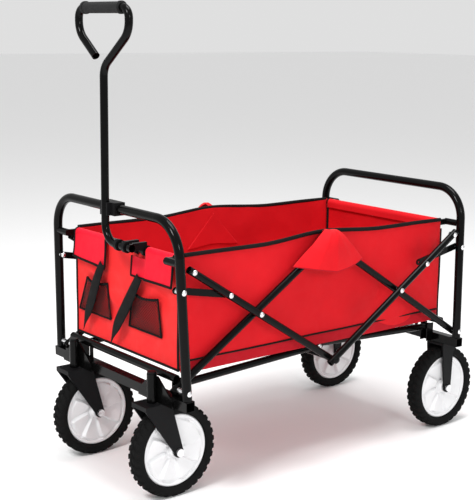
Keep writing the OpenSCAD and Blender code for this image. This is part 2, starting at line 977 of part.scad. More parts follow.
in_place() end_frame_tube(false);  // rear_frame_tube
in_place() lower_bar_at(false);  // rear_lower_bar
in_place()  // rear_floor_rail
    floor_rail(false);
in_place()  // rear_frame_pins
    frame_pins(false, layer_1 - bar_d / 2 - seat_gap, rear_link_x - seat_gap, 0, 0);
in_place() end_frame_tube(true);  // front_frame_tube
in_place() lower_bar_at(true);  // front_lower_bar
in_place()  // front_floor_rail
    floor_rail(true);
in_place()  // front_frame_pins
    frame_pins(
        true,
        layer_0 - bar_d / 2 - seat_gap,
        front_link_x - seat_gap,
        layer_0 + bar_d / 2 + seat_gap,
        front_link_x + link_t + seat_gap
    );
in_place() rim_rail(true, front_end_y);  // front_rim_rail
in_place() rim_rail(false, rear_end_y);  // rear_rim_rail
in_place() handle_clip();
in_place() handle_saddles();
in_place() outer_bar(true, layer_1, true);  // bar_a_left
in_place() outer_bar(true, layer_1, false);  // bar_a_right
in_place() inner_bar(true, layer_0, true, 0.3);  // bar_b_left
in_place() inner_bar(true, layer_0, false, 0.3);  // bar_b_right
in_place() inner_bar(false, layer_1, true, pin_gap);  // bar_c_left
in_place() inner_bar(false, layer_1, false, pin_gap);  // bar_c_right
in_place() outer_bar(false, layer_2, true);  // bar_d_left
in_place() outer_bar(false, layer_2, false);  // bar_d_right
in_place() rivets_a();
in_place() rivets_c();
in_place() rivets_d();
in_place() centre_cross_tube();
in_place() links(true, front_link_x);  // front_links
in_place() links(false, rear_link_x);  // rear_links
in_place() floor_tubes(true, floor_tube_x);  // floor_tubes_front
in_place() floor_tubes(false, floor_tube_x - floor_step);  // floor_tubes_rear
in_place() floor_hinge_rivets();
in_place() floor_brackets(true, floor_tube_x);  // floor_brackets_front
in_place() floor_brackets(false, floor_tube_x - floor_step);  // floor_brackets_rear
in_place() handle_tube();
in_place() handle_grip();
in_place() caster_sleeves();
in_place() caster_fork(true);  // caster_fork_left
in_place() caster_fork(false);  // caster_fork_right
in_place() front_axle_at(true) axle();  // caster_axle_left
in_place() front_axle_at(false) axle();  // caster_axle_right
in_place() rear_forks();
in_place() {  // rear_axles
    rear_axle_at(true) axle();
    rear_axle_at(false) axle();
}
in_place() front_axle_at(true) tyre();  // tyre_front_left
in_place() front_axle_at(false) tyre();  // tyre_front_right
in_place() rear_axle_at(true) tyre();  // tyre_rear_left
in_place() rear_axle_at(false) tyre();  // tyre_rear_right
in_place() front_axle_at(true) wheel_disc();  // disc_front_left
in_place() front_axle_at(false) wheel_disc();  // disc_front_right
in_place() rear_axle_at(true) wheel_disc();  // disc_rear_left
in_place() rear_axle_at(false) wheel_disc();  // disc_rear_right
in_place() end_panel(true, front_end_y);  // panel_front
in_place() end_panel(false, rear_end_y);  // panel_rear
in_place() side_panel(true);  // panel_side_left
in_place() side_panel(false);  // panel_side_right
in_place() front_flap();
in_place() mesh_pockets();
in_place() floor_pad(true, front_end_y);  // floor_pad_front
in_place() floor_pad(false, rear_end_y);  // floor_pad_rear
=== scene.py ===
# %% [markdown]
# # A folding camp wagon
# The wagon is a steel tube frame with a hung cloth basket, four moulded wheels and a
# hinged pull handle. The steel, the wheels' bearings and every joint come from the CAD
# frame, which this script never moves. What is made here is what a CAD solid can't
# show: sewn cloth, mesh, webbing, tyre tread, and the finish of every surface.
# Lengths are metres, +Z is up, and the handle end faces -Y.

# %% Load the frame
import bpy
import json
import math
import numpy as np
from mathutils import Matrix, Vector


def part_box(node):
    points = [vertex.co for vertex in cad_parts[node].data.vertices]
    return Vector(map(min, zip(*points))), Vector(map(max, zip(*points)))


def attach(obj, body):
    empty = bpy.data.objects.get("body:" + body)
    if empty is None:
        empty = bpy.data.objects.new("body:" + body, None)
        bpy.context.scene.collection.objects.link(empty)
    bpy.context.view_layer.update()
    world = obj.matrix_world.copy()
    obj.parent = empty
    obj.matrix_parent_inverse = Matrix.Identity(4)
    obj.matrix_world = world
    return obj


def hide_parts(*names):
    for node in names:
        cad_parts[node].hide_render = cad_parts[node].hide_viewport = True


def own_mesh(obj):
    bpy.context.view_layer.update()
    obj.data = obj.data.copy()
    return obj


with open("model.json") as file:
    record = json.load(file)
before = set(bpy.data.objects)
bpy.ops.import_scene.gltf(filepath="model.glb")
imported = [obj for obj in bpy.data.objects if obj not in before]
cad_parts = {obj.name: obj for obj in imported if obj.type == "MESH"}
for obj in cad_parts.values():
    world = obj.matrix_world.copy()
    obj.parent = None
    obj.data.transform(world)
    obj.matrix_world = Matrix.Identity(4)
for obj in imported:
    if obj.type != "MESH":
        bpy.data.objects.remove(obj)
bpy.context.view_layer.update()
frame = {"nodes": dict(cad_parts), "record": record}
NODES = frame["nodes"]

# %% [markdown]
# ## The camera
# The view is from the near front corner, a little above the rim. A camera is a point and
# three directions, so it is built from a heading, a tilt and a small roll, which puts
# the same three numbers a photographer would read off a tripod head in the code. The
# focal length is in millimetres on a sensor whose long side is 36 mm.

# %% Camera
HEADING, TILT, ROLL = -51.464, -11.118, 0.657
CAMERA_AT = (1.9088, -1.6140, 0.9234)
FOCAL_MM, SENSOR_MM = 82.15, 36.0


def aim(heading, tilt, roll):
    """Unit vectors right, up and forward.

    Forward turns by heading about Z and rises by tilt, and roll turns the other two about it.
    """
    h, t, r = (math.radians(a) for a in (heading, tilt, roll))
    forward = Vector((math.sin(h) * math.cos(t), math.cos(h) * math.cos(t), math.sin(t)))
    right = Vector((math.cos(h), -math.sin(h), 0.0))
    up = right.cross(forward)
    return right * math.cos(r) + up * math.sin(r), up * math.cos(r) - right * math.sin(r), forward


lens = bpy.data.cameras.new("camera")
lens.sensor_width = SENSOR_MM
lens.lens = FOCAL_MM
camera = bpy.data.objects.new("camera", lens)
bpy.context.scene.collection.objects.link(camera)
right, up, forward = aim(HEADING, TILT, ROLL)
rotation = Matrix((right, up, -forward)).transposed()
camera.matrix_world = Matrix.Translation(CAMERA_AT) @ rotation.to_4x4()
bpy.context.scene.camera = camera
print("camera", [round(v, 3) for v in camera.location])

# %% [markdown]
# ## Reading sizes from the frame
# Cloth is cut to fit what holds it, so its sizes come from the boxes of the CAD nodes
# that it hangs on. Reading them here keeps the cloth and the steel together.

# %% Sizes that the soft parts follow
side_lo, side_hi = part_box("panel_side_right")
front_lo, front_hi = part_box("panel_front")
rear_lo, rear_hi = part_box("panel_rear")
SIDE_X = 0.1895  # the side cloth, out from the middle plane
FRONT_Y = (front_lo.y + front_hi.y) / 2
REAR_Y = (rear_lo.y + rear_hi.y) / 2
FLOOR_Z = front_lo.z
RAIL_Z = 0.488  # the axis of both rim rails
RAIL_R = 0.0075
MID_Y = -0.0177  # the plane of the scissors' centre pins
CLOTH_THICK = 0.0012
SIDES = ((1, "right"), (-1, "left"))
print("basket from y", round(FRONT_Y, 4), "to", round(REAR_Y, 4), "floor", round(FLOOR_Z, 4))

# %% [markdown]
# ## Mesh helpers
# Every new piece is a surface worked out by numpy: a grid of points is computed at once
# and handed to Blender in one call. The grid can close on itself in either direction,
# which makes a tube or a ring from the same few lines. UVs are in metres, so that a
# weave has one size on every piece.

# %% Surfaces from grids
def mesh_object(name, points, faces, uvs=None):
    """A mesh from an array of points and an array of quads; uvs has one pair for each point."""
    mesh = bpy.data.meshes.new(name)
    mesh.vertices.add(len(points))
    mesh.vertices.foreach_set("co", np.asarray(points, np.float32).ravel())
    mesh.loops.add(faces.size)
    mesh.loops.foreach_set("vertex_index", faces.astype(np.int32).ravel())
    mesh.polygons.add(len(faces))
    mesh.polygons.foreach_set("loop_start", np.arange(len(faces), dtype=np.int32) * 4)
    mesh.update(calc_edges=True)
    if uvs is not None:
        layer = mesh.uv_layers.new(name="UVMap")
        layer.data.foreach_set("uv", np.asarray(uvs, np.float32)[faces.ravel()].ravel())
    mesh.shade_smooth()
    mesh.validate()
    made = bpy.data.objects.new(name, mesh)
    bpy.context.scene.collection.objects.link(made)
    return made


def quads(nu, nv, wrap_u=False, wrap_v=False):
    """The quads of a grid of nu by nv points, joined end to end in the directions that wrap."""
    iu = np.arange(nu if wrap_u else nu - 1)
    iv = np.arange(nv if wrap_v else nv - 1)
    u, v = np.meshgrid(iu, iv, indexing="ij")
    u2, v2 = (u + 1) % nu, (v + 1) % nv
    return np.stack([u * nv + v, u2 * nv + v, u2 * nv + v2, u * nv + v2], -1).reshape(-1, 4)


def surface(name, points, wrap_u=False, wrap_v=False, uvs=None, flip=False):
    """A grid of points as a mesh."""
    nu, nv = points.shape[:2]
    faces = quads(nu, nv, wrap_u, wrap_v)
    if flip:
        faces = faces[:, ::-1]
    return mesh_object(name, points.reshape(-1, 3), faces, None if uvs is None else uvs.reshape(-1, 2))


def thicken(piece, thickness):
    """Gives a cloth surface its thickness, half to each side."""
    solid = piece.modifiers.new("thickness", "SOLIDIFY")
    solid.thickness = thickness
    solid.offset = 0.0


def smooth_step(x):
    """0 below 0, 1 above 1, and a smooth S between."""
    x = np.clip(x, 0.0, 1.0)
    return x * x * (3 - 2 * x)


def ripples(u, v, seed, waves=14, shortest=0.05, longest=0.35):
    """A soft uneven surface near -1 to 1: a sum of plane waves of random heading, length and phase."""
    rng = np.random.RandomState(seed)
    total = np.zeros(np.broadcast(u, v).shape)
    for _ in range(waves):
        length = shortest * (longest / shortest) ** rng.rand()
        angle, phase = rng.rand(2) * 2 * math.pi
        total += (length / longest) ** 0.7 * np.sin(
            2 * math.pi / length * (u * math.cos(angle) + v * math.sin(angle)) + phase
        )
    return total / math.sqrt(waves)


def ridged(wave):
    """Turns a smooth wave into creases: its size, with the sharp valley at 0 rounded off a little."""
    return np.sqrt(wave * wave + 0.02)


def panel_uv(points, a, b):
    """UVs in metres from two of a surface's axes."""
    return np.stack([points[..., a], points[..., b]], -1)


# %% Tubes along paths
def swept(name, path, radius, sides=12, flat=1.0, up_hint=(0, 0, 1)):
    """A closed tube along a path; flat squeezes its section along the second side direction."""
    path = np.asarray(path, float)
    tangent = np.gradient(path, axis=0)
    tangent /= np.linalg.norm(tangent, axis=1)[:, None]
    hint = np.asarray(up_hint, float)
    side = np.cross(tangent, hint)
    side /= np.linalg.norm(side, axis=1)[:, None]
    other = np.cross(side, tangent)
    angle = np.linspace(0, 2 * math.pi, sides, endpoint=False)
    radius = np.broadcast_to(np.asarray(radius, float), (len(path),))
    grow = np.concatenate([[0.0], radius, [0.0]])
    path = np.concatenate([path[:1], path, path[-1:]])
    side = np.concatenate([side[:1], side, side[-1:]])
    other = np.concatenate([other[:1], other, other[-1:]])
    ring = (
        path[:, None]
        + grow[:, None, None] * np.cos(angle)[None, :, None] * side[:, None]
        + flat * grow[:, None, None] * np.sin(angle)[None, :, None] * other[:, None]
    )
    # the first and last rings shrink to a point by a hair, which closes the ends
    ring[0] = path[0] + (ring[1] - path[0]) * 0.02
    ring[-1] = path[-1] + (ring[-2] - path[-1]) * 0.02
    along = np.concatenate([[0], np.cumsum(np.linalg.norm(np.diff(path, axis=0), axis=1))])
    uv = np.stack(np.broadcast_arrays(along[:, None], angle[None, :] * 0.004), -1)
    return surface(name, ring, wrap_v=True, uvs=uv)


def resample(points, count):
    """A smooth path through a few points, with count points evenly spaced along it."""
    points = np.asarray(points, float)
    step = np.concatenate([[0], np.cumsum(np.linalg.norm(np.diff(points, axis=0), axis=1))])
    t = np.linspace(0, step[-1], count)
    return np.stack([np.interp(t, step, points[:, k]) for k in range(3)], -1)


print("helpers ready")

# %% [markdown]
# ## Finishes
# A painted tube is not one flat black: the coat has a faint orange peel, and handling
# leaves it a little less glossy here and there. Cloth needs its weave, which is two
# crossing sets of waves on the UVs, and the dull, slightly fuzzy light of polyester.
# Each material is a Principled shader whose plain numbers sit on its own sockets, and
# whose pattern comes from Object coordinates or from the piece's own UVs.

# %% Material helper
def material(name, color, roughness, metallic=0.0, **sockets):
    """A Principled material with its plain values on its sockets.

    Returns the material, its nodes, its links and the shader.
    """
    made = bpy.data.materials.new(name)
    made.use_nodes = True
    nodes, links = made.node_tree.nodes, made.node_tree.links
    shader = nodes["Principled BSDF"]
    shader.inputs["Base Color"].default_value = (*color, 1)
    shader.inputs["Roughness"].default_value = roughness
    shader.inputs["Metallic"].default_value = metallic
    for socket, value in sockets.items():
        shader.inputs[socket.replace("_", " ")].default_value = value
    return made, nodes, links, shader


def coordinates(nodes, which):
    """One of the coordinate outputs, in metres."""
    return nodes.new("ShaderNodeTexCoord").outputs[which]


def noise(nodes, links, vector, scale, detail=4.0):
    """A noise texture's factor on a coordinate."""
    made = nodes.new("ShaderNodeTexNoise")
    made.inputs["Scale"].default_value = scale
    made.inputs["Detail"].default_value = detail
    links.new(vector, made.inputs["Vector"])
    return made.outputs["Fac"]


def spread(nodes, links, factor, low, high):
    """A noise factor, which mostly lies between 0.3 and 0.7, turned into a value from low to high."""
    made = nodes.new("ShaderNodeMapRange")
    made.inputs["From Min"].default_value = 0.3
    made.inputs["From Max"].default_value = 0.7
    made.inputs["To Min"].default_value = low
    made.inputs["To Max"].default_value = high
    links.new(factor, made.inputs["Value"])
    return made.outputs["Result"]


def tint(nodes, links, factor, dark, light):
    """Two colours mixed by a factor."""
    made = nodes.new("ShaderNodeMix")
    made.data_type = "RGBA"
    # a Mix node has its two colours at inputs 6 and 7, and the mixed one at output 2
    made.inputs[6].default_value = (*dark, 1)
    made.inputs[7].default_value = (*light, 1)
    links.new(factor, made.inputs["Factor"])
    return made.outputs[2]


def bump(nodes, links, shader, height, strength, distance):
    """Height as a bump on the shader's normal, on top of any bump already there."""
    made = nodes.new("ShaderNodeBump")
    made.inputs["Strength"].default_value = strength
    made.inputs["Distance"].default_value = distance
    links.new(height, made.inputs["Height"])
    if shader.inputs["Normal"].is_linked:
        links.new(shader.inputs["Normal"].links[0].from_socket, made.inputs["Normal"])
    links.new(made.outputs["Normal"], shader.inputs["Normal"])


# %% Paint, plastic, steel, rubber and foam
def grey(value, blue=0.0):
    """A neutral colour, with a little more blue where that is given."""
    return (value, value, value + blue)


def hard_finish(name, color, roughness, mottle, rough, shades=None, grain=None, **sockets):
    """A smooth solid finish that isn't quite even.

    A soft noise of scale mottle moves the roughness between the two values of rough and, where
    shades are given, the colour between them. Grain is the scale, detail, strength and distance of
    a fine bump over it.
    """
    made, nodes, links, shader = material(name, color, roughness, **sockets)
    place = coordinates(nodes, "Object")
    blotch = noise(nodes, links, place, mottle)
    links.new(spread(nodes, links, blotch, *rough), shader.inputs["Roughness"])
    if shades:
        links.new(tint(nodes, links, blotch, *shades), shader.inputs["Base Color"])
    if grain:
        scale, detail, strength, distance = grain
        bump(nodes, links, shader, noise(nodes, links, place, scale, detail), strength, distance)
    return made


PAINT = hard_finish(
    "paint", grey(0.004), 0.14, 22.0, (0.10, 0.19), (grey(0.0012), grey(0.003)),
    (900.0, 2.0, 0.06, 0.0004), Specular_IOR_Level=0.10,
)
PLASTIC = hard_finish(
    "plastic", grey(0.008, 0.001), 0.40, 30.0, (0.34, 0.5), (grey(0.003, 0.0005), grey(0.008, 0.0005)),
    (1500.0, 2.0, 0.25, 0.0004), Specular_IOR_Level=0.08,
)
STEEL = hard_finish(
    "steel", grey(0.78, 0.01), 0.25, 160.0, (0.16, 0.4), (grey(0.62, 0.01), grey(0.86, 0.01)), metallic=1.0,
)
RUBBER = hard_finish(
    "rubber", grey(0.006), 0.75, 45.0, (0.66, 0.88), (grey(0.003), grey(0.010)),
    (1200.0, 2.0, 0.3, 0.0004), Specular_IOR_Level=0.06,
)
WHITE = hard_finish(
    "wheel_white", grey(0.78, 0.01), 0.38, 26.0, (0.3, 0.5), (grey(0.70, 0.01), grey(0.80, 0.01)),
    (700.0, 2.0, 0.05, 0.0004), Coat_Weight=0.15,
)
FOAM = hard_finish(
    "foam", grey(0.010), 0.85, 80.0, (0.75, 0.92), None, (2600.0, 3.0, 0.5, 0.0006), Specular_IOR_Level=0.3,
)
print("hard materials", 6)

# %% [markdown]
# ## Cloth
# Coated polyester has a fine plain weave. Its red wanders in broad soft blotches between a
# darker and a lighter shade, which is painted shading for the light and shade over the slack
# cloth. The weave is the product of two sine waves, one along each UV direction, 1.6 mm
# apart, used only as a bump. A seam is a doubled edge with a row of stitches, so the binding
# gets its own webbing material with a coarser rib.

# %% Cloth materials
def wave_of(nodes, links, vector, direction, period):
    """A sine wave of a given period along one axis; the texture turns 20 radians in a unit."""
    made = nodes.new("ShaderNodeTexWave")
    made.bands_direction = direction
    made.inputs["Scale"].default_value = 2 * math.pi / (20.0 * period)
    made.inputs["Distortion"].default_value = 0.0
    links.new(vector, made.inputs["Vector"])
    return made.outputs["Fac"]


def cloth(name, dark, light, roughness, sheen, period=0.0016, depth=0.25):
    """Woven cloth: broad blotches of painted shading move its colour between the dark and the light red,
    and a weave and a soft crumple bump it.
    """
    made, nodes, links, shader = material(
        name, light, roughness, Sheen_Weight=sheen, Sheen_Roughness=0.5, Specular_IOR_Level=0.12,
    )
    place = coordinates(nodes, "UV")
    # broad blotches of painted shading move the colour between the dark and the light red
    painted_shading = noise(nodes, links, place, 9.0)
    links.new(tint(nodes, links, painted_shading, dark, light), shader.inputs["Base Color"])
    worn = noise(nodes, links, place, 60.0)
    links.new(spread(nodes, links, worn, roughness - 0.08, roughness + 0.08), shader.inputs["Roughness"])
    warp = wave_of(nodes, links, place, "X", period)
    weft = wave_of(nodes, links, place, "Y", period)
    product = nodes.new("ShaderNodeMath")
    product.operation = "MULTIPLY"
    links.new(warp, product.inputs[0])
    links.new(weft, product.inputs[1])
    bump(nodes, links, shader, product.outputs[0], depth, 0.0004)
    bump(nodes, links, shader, noise(nodes, links, place, 38.0, 3.0), 0.12, 0.004)
    return made


RED = cloth("red_cloth", (0.47, 0.002, 0.007), (0.72, 0.008, 0.014), 0.62, 0.02)
# the front panel's copy of the red is lighter and more orange than the sides': painted light and a painted
# highlight on the same cloth
RED_FRONT_LIT = cloth("red_cloth_painted_lit", (0.62, 0.006, 0.012), (0.86, 0.034, 0.030), 0.62, 0.03)
RED_FLAP = cloth("red_flap_cloth", (0.66, 0.003, 0.018), (0.76, 0.007, 0.028), 0.62, 0.03)
RED_DEEP = cloth("red_deep_cloth", (0.34, 0.002, 0.008), (0.46, 0.005, 0.014), 0.7, 0.02)
WEB = cloth("black_webbing", (0.003, 0.003, 0.003), (0.009, 0.008, 0.008), 0.75, 0.0, 0.0022, 0.5)
print("cloth materials", 5)

# %% [markdown]
# Open mesh is holes as much as thread. Two thresholded waves make a black net, and the
# net's factor drives the shader's alpha, so the red panel shows through the pocket.

# %% Pocket mesh
NET_PERIOD, NET_HOLE = 0.0030, 0.88


def net():
    """Black threads where either of two crossing waves is above the hole's share, and holes elsewhere."""
    made, nodes, links, shader = material(
        "pocket_mesh", (0.006, 0.005, 0.005), 0.7, Specular_IOR_Level=0.15,
    )
    place = coordinates(nodes, "UV")
    parts = []
    for direction in ("DIAGONAL", "X"):
        wave = wave_of(nodes, links, place, direction, NET_PERIOD)
        step = nodes.new("ShaderNodeMath")
        step.operation = "GREATER_THAN"
        step.inputs[1].default_value = NET_HOLE
        links.new(wave, step.inputs[0])
        parts.append(step.outputs[0])
    join = nodes.new("ShaderNodeMath")
    join.operation = "MAXIMUM"
    links.new(parts[0], join.inputs[0])
    links.new(parts[1], join.inputs[1])
    links.new(join.outputs[0], shader.inputs["Alpha"])
    return made


MESH = net()


def dress(piece, finish):
    """Gives a piece one material."""
    piece.data.materials.clear()
    piece.data.materials.append(finish)
    return piece


print("pocket mesh ready")

# %% Finishes of the CAD nodes
SLOT_FINISH = {
    "black_paint": PAINT, "black_plastic": PLASTIC, "bright_steel": STEEL, "tyre_rubber": RUBBER,
    "wheel_plastic": WHITE, "grip_foam": FOAM, "red_fabric": RED, "black_mesh": MESH,
}
for part in frame["record"]["subparts"]:
    node = NODES[part["node"]]
    node.data.materials.clear()
    node.data.materials.append(SLOT_FINISH[part["material_slot"]])
# these are painted like the frame that they sit on
for name in ("caster_sleeves", "floor_brackets_front", "floor_brackets_rear"):
    NODES[name].data.materials[0] = PAINT

# %% [markdown]
# ## The side panels
# Each side is one cut of cloth hung between the end rails, with a rolled rim that
# rises a little where it passes over the top centre pivots. Hung cloth is never flat:
# it is slack between its corners, so a smooth random surface moves it sideways by a
# few millimetres, and long shallow folds run down from the corners. It moves outwards
# alone, because the floor's tubes fold up close inside it. Near the bottom a black
# piping marks the seam of a darker strip that wraps under the floor.

# %% Side panels
RIM_Z = 0.497
RIM_RISE, RISE_LENGTH = 0.010, 0.17
# two rivets whose heads lie on the cloth: distance behind the middle pins, and height
RIVET_HEADS = ((-0.191, 0.3623), (0.0, 0.4846))
RIVET_REACH = 0.03


def rim_height(y):
    """Height of the rim: level near the ends, with a smooth rise over the middle pivots."""
    away = np.abs(y - MID_Y)
    return RIM_Z + RIM_RISE * smooth_step(1 - away / RISE_LENGTH)


def side_points(sign, ny=180, nz=64):
    """Points of one side panel, from the floor to the rim and from front to rear."""
    y = np.linspace(side_lo.y + 0.001, side_hi.y - 0.001, ny)[:, None]
    share = np.linspace(0, 1, nz)[None, :]
    top = rim_height(y)
    z = FLOOR_Z + (top - FLOOR_Z) * share
    edge = smooth_step((y - side_lo.y) / 0.05) * smooth_step((side_hi.y - y) / 0.05)
    hold = edge * np.sin(math.pi * np.clip(share * 0.96 + 0.02, 0, 1)) ** 0.8
    slack = ridged(ripples(y, z, 5 if sign > 0 else 9, 16, 0.09, 0.5))
    # long folds fan out from the upper corners, down towards the bottom centre pivot
    away = np.abs(y - MID_Y)
    fold = ridged(np.sin(30 * (z - 0.5) + 21 * away)) * smooth_step((away - 0.06) / 0.2)
    # it bows out freely towards the rear, where the bars stand well off it, and little further
    # forward, where it stays flat under the rivets' heads
    free = smooth_step((y - MID_Y - 0.01) / 0.14)
    clear = 1
    for rivet_y, rivet_z in RIVET_HEADS:
        clear = clear - np.exp(-((y - MID_Y - rivet_y) ** 2 + (z - rivet_z) ** 2) / RIVET_REACH**2)
    held_bow = 0.0030 * np.clip(0.75 * slack + 0.5 * fold, 0, 1) * np.clip(clear, 0, 1)
    free_bow = 0.0062 * np.clip(slack, 0, 1.1) + 0.0022 * fold
    x = sign * (SIDE_X + hold * (held_bow * (1 - free) + free * free_bow))
    x, y, z = np.broadcast_arrays(x, y, z)
    return np.stack([x, y, z], -1)


def fold_up(piece):
    """Mounts a piece of the sides on the rear frame, and gives it a mesh of its own."""
    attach(piece, "rear_frame")
    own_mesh(piece)


sides = []
for sign, tag in SIDES:
    node = f"panel_side_{tag}"
    points = side_points(sign)
    piece = surface(f"side_panel_{tag}", points, uvs=panel_uv(points, 1, 2), flip=sign < 0)
    thicken(piece, CLOTH_THICK)
    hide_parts(node)
    fold_up(piece)
    sides.append(dress(piece, RED))
print("side panels", len(sides), "height", round(float(rim_height(MID_Y) - FLOOR_Z), 3))

# %% [markdown]
# The rim is a cord wrapped in black webbing. A swept tube along the same rim line as
# the cloth keeps the two together, and a slow wobble in its path keeps it from looking
# too even. The piping at the lower seam is the same tube, thinner.

# %% Rim binding and lower piping
def along_side(sign, lift, out, start=0.0, end=0.0, count=140, wobble=0.0008):
    """A path along a side panel's length.

    Lift is measured from the rim when it is negative, and otherwise from the floor.
    """
    y = np.linspace(side_lo.y + start, side_hi.y - end, count)
    z = rim_height(y) + lift if lift <= 0 else np.full_like(y, FLOOR_Z + lift)
    z = z + wobble * ripples(y, y * 0, 31, 8, 0.1, 0.5)
    x = sign * (SIDE_X + out) + 0 * y
    return np.stack([x, y, z], -1)


trims = []


def trim(piece, finish=WEB, body=None):
    """Dresses and mounts a sewn trim; with no body it belongs to a side and folds up with it."""
    dress(piece, finish)
    if body:
        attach(piece, body)
    else:
        fold_up(piece)
    trims.append(piece)
    return piece


for sign, tag in SIDES:
    trim(swept(f"rim_binding_{tag}", along_side(sign, -0.001, 0.0021, 0.004, 0.004), 0.0029, 14, flat=1.5))
    trim(swept(f"lower_piping_{tag}", along_side(sign, 0.021, 0.0016, 0.004, 0.004), 0.0020, 10))
    y = np.linspace(side_lo.y + 0.003, side_hi.y - 0.003, 120)[:, None]
    z = np.linspace(FLOOR_Z - 0.003, FLOOR_Z + 0.021, 12)[None, :]
    x = sign * (SIDE_X + 0.0014 + 0.0004 * ripples(y, z, 33, 8, 0.05, 0.3))
    strip_points = np.stack(np.broadcast_arrays(x, y, z), -1)
    strip = surface(f"lower_strip_{tag}", strip_points, uvs=panel_uv(strip_points, 1, 2), flip=sign < 0)
    thicken(strip, 0.0010)
    trim(strip, RED_DEEP)
print("bindings", len(trims))

# %% [markdown]
# ## The end panels
# The front panel is laced between the front rim rail and the rail at floor height. Its
# middle stands a few millimetres out, and its creases run inwards from there, which
# leaves room for the pockets. The rear panel is made the same way, as the same kind of
# grid as the sides.

# %% End panels
END_X = 0.1865  # half the width of an end panel


def end_points(y_plane, sign, belly, seed, nx=110, nz=70, top=0.481):
    """Points of an end panel; belly is how far its middle stands out before its creases."""
    x = np.linspace(-END_X, END_X, nx)[:, None]
    z = np.linspace(FLOOR_Z + 0.001, top, nz)[None, :]
    share = (z - FLOOR_Z) / (top - FLOOR_Z)
    hold = np.sin(math.pi * share) ** 0.8 * smooth_step((END_X - np.abs(x)) / 0.06)
    creases = 0.0100 * ridged(ripples(x, z, seed, 16, 0.05, 0.28))
    hang = 0.0030 * ridged(np.sin(34 * x + 16 * z)) * smooth_step(1.3 - 2 * share)
    y = y_plane + sign * hold * (belly - creases - hang)
    x, y, z = np.broadcast_arrays(x, y, z)
    return np.stack([x, y, z], -1)


front_points = end_points(FRONT_Y, -1, 0.0045, 21)
front_panel = surface("front_panel", front_points, uvs=panel_uv(front_points, 0, 2), flip=True)
thicken(front_panel, CLOTH_THICK)
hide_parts("panel_front")
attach(front_panel, "front_frame")
dress(front_panel, RED_FRONT_LIT)

rear_points = end_points(REAR_Y, 1, 0.004, 22)
rear_panel = surface("rear_panel", rear_points, uvs=panel_uv(rear_points, 0, 2))
thicken(rear_panel, CLOTH_THICK)
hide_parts("panel_rear")
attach(rear_panel, "rear_frame")
dress(rear_panel, RED)
print("end panels", 2)

# %% [markdown]
# ## Hems folded over the rails
# The top of each end panel is a hem folded over its rim rail. Its section is a fixed
# path: up the inside, round the tube, and down the outside. The front hem hangs lower
# and is cut away in the middle, where the saddles of the handle grip the rail. So it
# is two pieces, and a low flat one carries the right piece on under the saddles. Their
# free edges are bound in black webbing.

# %% Hem helper
HEM_GAP = 0.0011  # from the rail's surface to the middle of the cloth
OUTER_FROM = 17  # the section's point where its outer leg starts
EDGE_FROM = 9  # and where the binding of its ends starts, at the top


def hem_section(plane, out, inner_drop, outer_drop):
    """(y, z) points of a hem's section: inside leg, half turn over the rail, outside leg."""
    r = RAIL_R + HEM_GAP
    inside = np.stack([np.full(8, -r), np.linspace(-inner_drop, 0, 8)], -1)
    turn = np.linspace(math.pi, 0, 12)[1:-1]
    over = np.stack([r * np.cos(turn), r * np.sin(turn)], -1)
    outside = np.stack([np.full(22, r), np.linspace(0, -outer_drop, 22)], -1)
    section = np.concatenate([inside, over, outside])
    return np.stack([plane + out * section[:, 0], RAIL_Z + section[:, 1]], -1)


def hem(name, x0, x1, plane, out, inner_drop, outer_drop, seed, flare=0.004, nx=70, slant=(0.0, 0.0)):
    """A hem between two places along the rail.

    Slant lengthens or shortens its outer leg towards each end. Returns the piece and its points.
    """
    x = np.linspace(x0, x1, nx)[:, None]
    section = hem_section(plane, out, inner_drop, outer_drop)[None]
    outer = np.arange(section.shape[1]) >= OUTER_FROM
    down = np.clip((RAIL_Z - section[..., 1]) / outer_drop, 0, 1) * outer
    share = (x - x0) / (x1 - x0)
    drop = 1 + slant[0] * (1 - share) + slant[1] * share
    z = RAIL_Z + (section[..., 1] - RAIL_Z) * np.where(outer, drop, 1.0)
    wave = 0.0016 * ripples(x, down * 0.05, seed, 10, 0.06, 0.3)
    y = section[..., 0] + out * down * (wave + flare * down)
    x = x + 0 * y
    points = np.stack([x, y, z], -1)
    length = np.linspace(0, inner_drop + outer_drop + 0.03, points.shape[1])
    uvs = np.stack([points[..., 0], np.broadcast_to(length, x.shape)], -1)
    made = surface(name, points, uvs=uvs, flip=out < 0)
    thicken(made, CLOTH_THICK)
    return made, points


# %% Front and rear hems
FLAPS = (
    ("flap_left", -0.1805, -0.058, (-0.10, 0.06), 41),
    ("flap_right", 0.0885, 0.1805, (0.0, 0.0), 42),
)
hems = []
for name, x0, x1, slant, seed in FLAPS:
    piece, points = hem(name, x0, x1, FRONT_Y, -1, 0.010, 0.055, seed, slant=slant)
    dress(piece, RED_FLAP)
    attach(piece, "front_frame")
    hems.append((piece, points))
x = np.linspace(0.041, 0.0895, 24)[:, None]
z = np.linspace(0.4335, 0.4735, 24)[None, :]
y = FRONT_Y - RAIL_R - HEM_GAP - 0.003 * smooth_step((0.480 - z) / 0.05) + 0 * x
low_points = np.stack(np.broadcast_arrays(x, y, z), -1)
low_flap = surface("flap_low", low_points, uvs=panel_uv(low_points, 0, 2), flip=True)
thicken(low_flap, CLOTH_THICK)
dress(low_flap, RED_FLAP)
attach(low_flap, "front_frame")
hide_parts("front_flap")
rear_hem, _ = hem("rear_hem", -0.1805, 0.1805, REAR_Y, 1, 0.012, 0.016, 43, flare=0.0)
dress(rear_hem, RED)
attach(rear_hem, "rear_frame")
ACROSS_X, ACROSS_Y = (1, 0, 0), (0, 1, 0)
for piece, points in hems:
    path = resample(points[:, -1] + (0, -0.0006, 0), 60)
    trim(swept(f"{piece.name}_hem_edge", path, 0.0026, 10, up_hint=ACROSS_Y), body="front_frame")
left_points, right_points = hems[0][1], hems[1][1]
